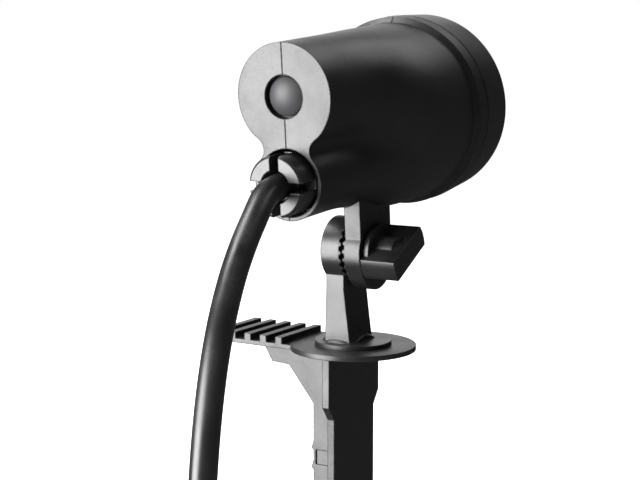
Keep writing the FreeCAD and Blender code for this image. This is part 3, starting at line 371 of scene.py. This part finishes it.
def mix_colour(tree, share, first, second):
    """Two colours mixed by a mask; each is a socket or an RGB triple."""
    node = tree.nodes.new("ShaderNodeMix")
    node.data_type = "RGBA"
    tree.links.new(share, node.inputs[0])
    for socket, value in ((node.inputs[6], first), (node.inputs[7], second)):
        if isinstance(value, tuple):
            socket.default_value = (*value, 1)
        else:
            tree.links.new(value, socket)
    return node.outputs[2]


EDGE_RADIUS = 0.5 * MM
CLOUD_SIZE = 55.0            # scale of the handling clouds on plastic
GLOSS_SWING = 0.10           # range of the roughness that the clouds give
SHADE = 0.72                 # how dark the darkest clouds are, as a share of the colour
DUST_COLOUR = (0.30, 0.29, 0.27)
WORN_LEAST = 0.004           # added to a worn edge, so that it still shows on a nearly black piece
EDGE_SHARE = 0.8             # how far an edge goes towards its worn colour
FLECK_DULLS = 0.06           # what the flecks, the edges and the dust change the roughness by
EDGE_SHINES = 0.08
DUST_DULLS = 0.3


def moulded(name, colour, gloss, grain, depth, lift=2.2, dust=0.25, scratch=0.0):
    """Moulded plastic or rubber: gloss is the middle roughness, grain its scale and depth its depth in
    metres, and lift says how much lighter the edges are."""
    material = bpy.data.materials.new(name)
    material.use_nodes = True
    tree = material.node_tree
    shader = tree.nodes["Principled BSDF"]
    texture = add_group(tree, grain_tree, Size=grain)
    edges = add_group(tree, edge_tree, Radius=EDGE_RADIUS)
    touch = add_group(tree, handling_tree, Size=CLOUD_SIZE)
    worn = tuple(min(1.0, c * lift + WORN_LEAST) for c in colour)
    dark = tuple(c * SHADE for c in colour)
    base = mix_colour(tree, touch.outputs["Cloud"], dark, colour)
    base = mix_colour(tree, math_node(tree, "MULTIPLY", edges.outputs["Edge"], EDGE_SHARE), base, worn)
    dusty = math_node(tree, "MULTIPLY", touch.outputs["Dust"], dust)
    base = mix_colour(tree, dusty, base, DUST_COLOUR)
    tree.links.new(base, shader.inputs["Base Color"])
    rough = spread(tree, touch.outputs["Cloud"], 0.3, 0.7, gloss - GLOSS_SWING / 2, gloss + GLOSS_SWING / 2)
    duller = math_node(tree, "MULTIPLY", texture.outputs["Fleck"], FLECK_DULLS)
    rough = math_node(tree, "ADD", rough, duller)
    polished = math_node(tree, "MULTIPLY", edges.outputs["Edge"], EDGE_SHINES)
    rough = math_node(tree, "SUBTRACT", rough, polished)
    rough = math_node(tree, "ADD", rough, math_node(tree, "MULTIPLY", dusty, DUST_DULLS), clamp=True)
    tree.links.new(rough, shader.inputs["Roughness"])
    height = texture.outputs["Height"]
    if scratch:
        marks = add_group(tree, scratch_tree, Size=160.0)
        cut = math_node(tree, "MULTIPLY", marks.outputs["Line"], scratch)
        height = math_node(tree, "SUBTRACT", height, cut)
    bump = tree.nodes.new("ShaderNodeBump")
    bump.inputs["Distance"].default_value = depth
    tree.links.new(height, bump.inputs["Height"])
    tree.links.new(edges.outputs["Normal"], bump.inputs["Normal"])
    tree.links.new(bump.outputs[0], shader.inputs["Normal"])
    return material


print("recipe", moulded.__name__)

# %% [markdown]
# ## The plastic pieces' finishes
#
# Each slot of the model gets one call. After the name come the colour, the middle roughness, the
# scale of the grain, where a larger number is finer, and its depth in metres. Rubber is duller than
# plastic. The gears, boards and wires are shut in the head, so they have no dust on them.

# %% Plastic finishes
finishes = {}
finishes["black_casing"] = moulded("casing_plastic", (0.0075, 0.0072, 0.0072), 0.40, 1500.0, 0.000035)
finishes["black_hood"] = moulded("hood_plastic", (0.0085, 0.0078, 0.0078), 0.38, 1900.0, 0.00002)
finishes["black_stake"] = moulded(
    "stake_plastic", (0.010, 0.0096, 0.0096), 0.42, 1100.0, 0.00004, scratch=0.6)
finishes["black_post"] = moulded("post_plastic", (0.009, 0.009, 0.0092), 0.40, 1300.0, 0.00003)
finishes["black_knob"] = moulded("knob_plastic", (0.009, 0.009, 0.0092), 0.36, 1300.0, 0.00003)
finishes["button_grey"] = moulded("button_rubber", (0.030, 0.030, 0.032), 0.56, 2200.0, 0.00001, dust=0.1)
finishes["black_gland"] = moulded("bushing_plastic", (0.014, 0.014, 0.0145), 0.34, 1500.0, 0.00002)
finishes["plug_body"] = moulded("plug_vinyl", (0.014, 0.014, 0.015), 0.44, 1200.0, 0.00003)
finishes["gasket_rubber"] = moulded("gasket_rubber", (0.02, 0.02, 0.02), 0.62, 900.0, 0.00004, dust=0.1)
finishes["inner_plastic"] = moulded("inner_plastic", (0.035, 0.035, 0.037), 0.5, 1200.0, 0.00003)
finishes["switch_plastic"] = moulded("switch_plastic", (0.10, 0.10, 0.11), 0.45, 1400.0, 0.00002)
finishes["gear_plastic"] = moulded(
    "gear_acetal", (0.78, 0.76, 0.70), 0.38, 1800.0, 0.00001, lift=1.05, dust=0.0)
finishes["board_white"] = moulded(
    "lamp_board_mask", (0.80, 0.80, 0.78), 0.35, 2400.0, 0.000008, lift=1.0, dust=0.0)
finishes["board_green"] = moulded("driver_board_mask", (0.02, 0.16, 0.06), 0.30, 2600.0, 0.000008, dust=0.0)
finishes["parts_black"] = moulded("parts_epoxy", (0.018, 0.018, 0.018), 0.5, 2600.0, 0.00001, dust=0.0)
finishes["wire_sheath"] = moulded(
    "wire_sheath", (0.45, 0.03, 0.025), 0.42, 1600.0, 0.00001, lift=1.2, dust=0.0)
print("plastics", len(finishes))

# %% [markdown]
# ## Metals, glass and film
#
# Screws and blades are bright metal with fine turned or drawn marks. The front lens is clear
# polycarbonate and the pattern wheel holds small coloured windows. Both let light through, so their
# transmission is a plain value and only their gloss changes over the surface.

# %% Metals and clear parts


MARK_SCALE = 2400.0
MARK_DEPTH = 0.006 * MM
METAL_EDGE = 0.25 * MM
METAL_SHADE = 0.62           # how dark its dullest patches are, as a share of the colour


def metal(name, colour, gloss, direction=(1.0, 1.0, 1.0)):
    """Metal with fine marks drawn out along one direction."""
    material = bpy.data.materials.new(name)
    material.use_nodes = True
    tree = material.node_tree
    shader = tree.nodes["Principled BSDF"]
    shader.inputs["Metallic"].default_value = 1.0
    drawn_out = tree.nodes.new("ShaderNodeMapping")
    drawn_out.inputs["Scale"].default_value = direction
    tree.links.new(tree.nodes.new("ShaderNodeTexCoord").outputs["Object"], drawn_out.inputs["Vector"])
    marks = noise_node(tree, drawn_out.outputs[0], MARK_SCALE, 3.0, 0.6)
    edges = add_group(tree, edge_tree, Radius=METAL_EDGE)
    touch = add_group(tree, handling_tree, Size=220.0)
    dull = tuple(c * METAL_SHADE for c in colour)
    tree.links.new(mix_colour(tree, touch.outputs["Cloud"], dull, colour), shader.inputs["Base Color"])
    tree.links.new(spread(tree, marks, 0.3, 0.7, gloss - 0.07, gloss + 0.10), shader.inputs["Roughness"])
    bump = tree.nodes.new("ShaderNodeBump")
    bump.inputs["Distance"].default_value = MARK_DEPTH
    tree.links.new(marks, bump.inputs["Height"])
    tree.links.new(edges.outputs["Normal"], bump.inputs["Normal"])
    tree.links.new(bump.outputs[0], shader.inputs["Normal"])
    return material


def clear(name, colour, gloss, transmission=1.0, ior=1.58):
    """Clear or tinted plastic with faint handling marks in its gloss."""
    material = bpy.data.materials.new(name)
    material.use_nodes = True
    tree = material.node_tree
    shader = tree.nodes["Principled BSDF"]
    shader.inputs["Transmission Weight"].default_value = transmission
    shader.inputs["IOR"].default_value = ior
    shader.inputs["Base Color"].default_value = (*colour, 1)
    touch = add_group(tree, handling_tree, Size=90.0)
    rough = spread(tree, touch.outputs["Cloud"], 0.35, 0.7, gloss, gloss + 0.08)
    tree.links.new(rough, shader.inputs["Roughness"])
    return material


print("recipes", metal.__name__, clear.__name__)

# %% [markdown]
# ## The metal and clear pieces' finishes
#
# The last numbers of a metal draw its marks out along one axis, as on a blade or a rolled plate. A
# plated screw leaves them out, so its marks run no way in particular.

# %% Metal and clear finishes
finishes["screw_steel"] = metal("screw_zinc", (0.62, 0.62, 0.60), 0.32)
finishes["bolt_steel"] = metal("bolt_zinc", (0.55, 0.55, 0.54), 0.34, (0.1, 1.0, 1.0))
finishes["plug_metal"] = metal("blade_nickel", (0.72, 0.70, 0.66), 0.24, (1.0, 0.06, 1.0))
finishes["insert_brass"] = metal("insert_brass", (0.75, 0.56, 0.26), 0.33)
finishes["standoff_brass"] = metal("standoff_brass", (0.74, 0.56, 0.27), 0.30)
finishes["motor_steel"] = metal("motor_can", (0.60, 0.60, 0.61), 0.28, (1.0, 0.08, 1.0))
finishes["plate_aluminium"] = metal("plate_aluminium", (0.80, 0.80, 0.81), 0.36, (0.08, 1.0, 1.0))
finishes["lens_clear"] = clear("lens_polycarbonate", (0.98, 0.985, 0.985), 0.02)
finishes["window_film"] = clear("window_film", (0.30, 0.55, 0.90), 0.10, 0.85, 1.45)
print("metal and clear finishes done, in all", len(finishes))

# %% [markdown]
# ## The lamp's phosphor
#
# The lamp is a blue chip under a layer of yellow phosphor powder, and the powder is what shows while
# it is off. The moulded grain serves again here: its flecks stand for the grains of the powder.

# %% Phosphor finish
phosphor = bpy.data.materials.new("lamp_phosphor")
phosphor.use_nodes = True
phosphor_tree = phosphor.node_tree
phosphor_shader = phosphor_tree.nodes["Principled BSDF"]
phosphor_shader.inputs["Roughness"].default_value = 0.45
speckle = add_group(phosphor_tree, grain_tree, Size=3200.0)
phosphor_tree.links.new(
    mix_colour(phosphor_tree, speckle.outputs["Fleck"], (0.90, 0.62, 0.08), (0.95, 0.74, 0.20)),
    phosphor_shader.inputs["Base Color"])
finishes["led_phosphor"] = phosphor
print("finishes", len(finishes))

# %% [markdown]
# ## The lead's sheath
#
# The lead is soft vinyl over twisted cores. It is glossier than the casing, with a slight waviness
# where the cores press on the sheath from inside. The pattern has to follow the lead round its coil,
# so it reads the tube's own UV map: one direction runs along the lead and the other goes round it.

# %% Sheath finish
CORE_WAVES = 150.0           # waves along the whole lead
WAVE_SHARE = 6.0             # their height beside the grain's
SHEATH_DEPTH = 0.015 * MM    # the depth of its grain
sheath = bpy.data.materials.new("cord_vinyl")
sheath.use_nodes = True
tree = sheath.node_tree
shader = tree.nodes["Principled BSDF"]
surface = tree.nodes.new("ShaderNodeTexCoord").outputs["UV"]
stretch = tree.nodes.new("ShaderNodeMapping")
stretch.inputs["Scale"].default_value = (CORE_WAVES, 1.0, 1.0)
tree.links.new(surface, stretch.inputs["Vector"])
wave = noise_node(tree, stretch.outputs[0], 1.0, 2.0)
texture = add_group(tree, grain_tree, Size=1700.0)
touch = add_group(tree, handling_tree, Size=70.0)
dusty = math_node(tree, "MULTIPLY", touch.outputs["Dust"], 0.35)
vinyl = mix_colour(tree, touch.outputs["Cloud"], (0.008, 0.008, 0.0085), (0.014, 0.014, 0.015))
tree.links.new(mix_colour(tree, dusty, vinyl, (0.28, 0.27, 0.25)), shader.inputs["Base Color"])
tree.links.new(spread(tree, touch.outputs["Cloud"], 0.3, 0.7, 0.30, 0.40), shader.inputs["Roughness"])
height = math_node(tree, "ADD", math_node(tree, "MULTIPLY", wave, WAVE_SHARE), texture.outputs["Height"])
bump = tree.nodes.new("ShaderNodeBump")
bump.inputs["Distance"].default_value = SHEATH_DEPTH
tree.links.new(height, bump.inputs["Height"])
tree.links.new(bump.outputs[0], shader.inputs["Normal"])
finishes["cord_sheath"] = sheath
print("with the sheath, finishes", len(finishes))

# %% [markdown]
# ## Painting the CAD nodes
#
# The record names a slot for each node. Each node's object keeps its shape and gets the finish of its
# slot.

# %% Put the finishes on
for subpart in frame["record"]["subparts"]:
    mesh = nodes[subpart["node"]].data
    mesh.materials.clear()
    mesh.materials.append(finishes[subpart["material_slot"]])

# %% [markdown]
# ## The lead's route
#
# A heavy outdoor lead is stiff. It leaves the bushing along the head's own axis, bends over once and
# hangs almost straight, then turns on the ground and runs into its put-away coil. A NURBS spline gives
# such a line with few points, because its curve is smooth between them. The coil's turns come from a
# loop: each ring keeps its radius for most of a turn and steps to the next in a quarter of one.

# %% Route points, in millimetres
HANG_ROUTE = [
    (0.0, 40.2, 55.8), (0.0, 46.7, 55.2), (-1.2, 53.2, 53.0), (-2.8, 59.5, 48.6), (-4.0, 67.0, 42.2),
    (-6.0, 76.5, 32.6), (-9.0, 87.2, 18.5), (-11.0, 95.0, -1.0), (-12.0, 99.5, -26.0), (-11.0, 101.5, -56.0),
    (-9.5, 102.5, -88.0), (-6.0, 105.0, -114.0), (2.0, 110.0, -135.0), (16.0, 116.0, -149.0),
    (36.0, 121.5, -155.2), (57.0, 124.5, -156.2)]
TAIL_ROUTE = [(132.5, 52.0, -152.0), (131.0, 40.0, -155.4), (127.5, 28.0, -155.6), (124.5, 17.0, -152.6),
              (123.0, 9.0, -151.0), (123.0, 3.0, -151.0)]
CORD_R = 3.8
COIL_MIDDLE = (75.0, 70.0)
COIL_POINTS = 16          # points in each turn
COIL_OUTER = 53.8
COIL_PITCH = 7.8
COIL_TURNS = 5.2
COIL_START = math.radians(108.0)     # where the lead joins the coil, from +X
LYING = -156.2                       # height of the lead's middle on the floor
STEP = 0.25                          # share of a turn in which it steps to the next ring
STEPS_IN = (0.75, 1.75)              # turns at which it starts to step in
STEPS_OUT = (3.25, 4.25)             # turns at which it steps back out, on the upper layer
CLIMB, CLIMB_SHARE = 2.5, 0.35       # turn at which it climbs to that layer, and how long it takes


def eased(value):
    """A smooth step from 0 to 1."""
    t = min(1.0, max(0.0, value))
    return t * t * (3 - 2 * t)


def coil_ring(turn):
    """How many pitches in from the outer ring the lead lies, and how high up, at a number of turns."""
    inward = sum(eased((turn - begin) / STEP) for begin in STEPS_IN)
    outward = sum(eased((turn - begin) / STEP) for begin in STEPS_OUT)
    return inward - outward, eased((turn - CLIMB) / CLIMB_SHARE)


coil_route = []
shrink = math.cos(math.pi / COIL_POINTS)      # the spline runs inside its points by this much
for k in range(1, int(COIL_TURNS * COIL_POINTS)):
    turn = k / COIL_POINTS
    rings_in, level = coil_ring(turn)
    reach = (COIL_OUTER - rings_in * COIL_PITCH) / shrink
    angle = COIL_START - 2 * math.pi * turn
    coil_route.append((COIL_MIDDLE[0] + reach * math.cos(angle), COIL_MIDDLE[1] + reach * math.sin(angle),
                       LYING + level * COIL_PITCH))
route = HANG_ROUTE + coil_route + TAIL_ROUTE
print("route points", len(route))

# %% [markdown]
# ## The plug
#
# The plug is vinyl, moulded straight on to the end of the lead. Ribs round the sheath let it bend
# there without breaking, the waist is for two fingers, and grooves on the sides keep them from
# slipping. All of it is one skin: a circle of edges is pushed out ring by ring, and each new ring gets
# its own width, height and squareness. Pushing edges out keeps the skin closed along its whole length,
# which joining boxes and cylinders would not.

# %% Plug
PLUG_AXIS = (123.0, -151.0)      # x and z of its middle
PLUG_SIDES = 40
RIB_PITCH = 2.1
GROOVE_PITCH = 2.3
ROUND, SOFT, SQUARE = 2.0, 3.0, 5.5
plug_rings = []                  # y, half width, half height, squareness
for rib in range(4):
    y = 12.0 - RIB_PITCH * rib
    plug_rings += [(y, 5.3, 5.3, ROUND), (y - 0.3, 5.6, 5.6, ROUND), (y - 0.9, 5.6, 5.6, ROUND),
                   (y - 1.2, 4.7, 4.7, ROUND), (y - 1.8, 4.7, 4.7, ROUND)]
plug_rings += [(3.4, 5.4, 5.4, ROUND), (0.0, 6.6, 5.9, 2.4), (-6.0, 8.4, 6.6, SOFT), (-11.2, 9.6, 7.1, 3.6),
               (-12.2, 10.6, 7.7, 4.2), (-13.2, 12.0, 8.6, SQUARE), (-14.0, 12.5, 9.0, SQUARE)]
for groove in range(4):
    y = -15.4 - GROOVE_PITCH * groove
    plug_rings += [(y, 12.5, 9.0, SQUARE), (y - 0.4, 11.9, 9.0, SQUARE), (y - 1.1, 11.9, 9.0, SQUARE),
                   (y - 1.5, 12.5, 9.0, SQUARE)]
plug_rings += [(-25.0, 12.5, 9.0, SQUARE), (-25.7, 12.2, 8.7, SQUARE), (-26.0, 11.5, 8.0, SQUARE)]


def shape_ring(corners, y, wide, high, square):
    """Puts a ring's corners on a rounded rectangle about the plug's middle, each in its own direction."""
    for corner in corners:
        angle = math.atan2(corner.co.z, corner.co.x)
        along, across = abs(math.cos(angle)) / wide, abs(math.sin(angle)) / high
        reach = (along ** square + across ** square) ** (-1 / square)
        corner.co = (reach * math.cos(angle), y, reach * math.sin(angle))


bm = bmesh.new()
rim = bmesh.ops.create_circle(bm, segments=PLUG_SIDES, radius=1.0)["verts"]
bmesh.ops.rotate(bm, verts=rim, cent=(0, 0, 0), matrix=Matrix.Rotation(math.pi / 2, 3, "X"))
shape_ring(rim, 12.6, 4.6, 4.6, ROUND)
rim_edges = list(bm.edges)
for ring in plug_rings:
    pushed = bmesh.ops.extrude_edge_only(bm, edges=rim_edges)["geom"]
    rim = [part for part in pushed if isinstance(part, bmesh.types.BMVert)]
    rim_edges = [part for part in pushed if isinstance(part, bmesh.types.BMEdge)]
    shape_ring(rim, *ring)
bmesh.ops.holes_fill(bm, edges=[edge for edge in bm.edges if edge.is_boundary], sides=PLUG_SIDES)
bmesh.ops.recalc_face_normals(bm, faces=bm.faces)
bmesh.ops.translate(bm, verts=bm.verts, vec=(PLUG_AXIS[0], 0, PLUG_AXIS[1]))
bmesh.ops.scale(bm, verts=bm.verts, vec=(MM, MM, MM))
print("plug open edges", sum(edge.is_boundary for edge in bm.edges), "faces", len(bm.faces))
plug = new_mesh_object("mains_plug", bm)
plug.data.materials.append(finishes["plug_body"])
for face in plug.data.polygons:
    face.use_smooth = len(face.vertices) == 4
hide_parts("plug_body")
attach(plug, "stake")

# %% [markdown]
# ## The lead as a tube
#
# The same spline is made twice: once bare, which is taken out again at once, and once with a round
# bevel, which Blender sweeps along the line without twisting. The swept one becomes a mesh.

# %% Lead


def spline_curve(name, points, bevel=0.0):
    """A NURBS curve object through the control points."""
    data = bpy.data.curves.new(name, "CURVE")
    data.dimensions = "3D"
    data.resolution_u = 5
    data.bevel_depth = bevel
    data.bevel_resolution = 6
    data.use_fill_caps = bevel > 0
    spline = data.splines.new("NURBS")
    spline.points.add(len(points) - 1)
    for point, place in zip(spline.points, points):
        point.co = (*(Vector(place) * MM), 1.0)
    spline.order_u = 3
    spline.use_endpoint_u = True
    made = bpy.data.objects.new(name, data)
    bpy.context.scene.collection.objects.link(made)
    return made


def as_mesh(curve, name):
    """The mesh that a curve object makes, as a new object; the curve goes."""
    mesh = bpy.data.meshes.new_from_object(curve)
    made = bpy.data.objects.new(name, mesh)
    bpy.context.scene.collection.objects.link(made)
    bpy.data.objects.remove(curve)
    return made


line = as_mesh(spline_curve("lead_line", route), "lead_line")
bpy.data.objects.remove(line)
lead = as_mesh(spline_curve("lead_tube", route, CORD_R * MM), "mains_lead")
lead.data.materials.append(finishes["cord_sheath"])
for face in lead.data.polygons:
    face.use_smooth = True
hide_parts("power_cord", "cord_coil", "cord_tail")
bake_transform(lead)
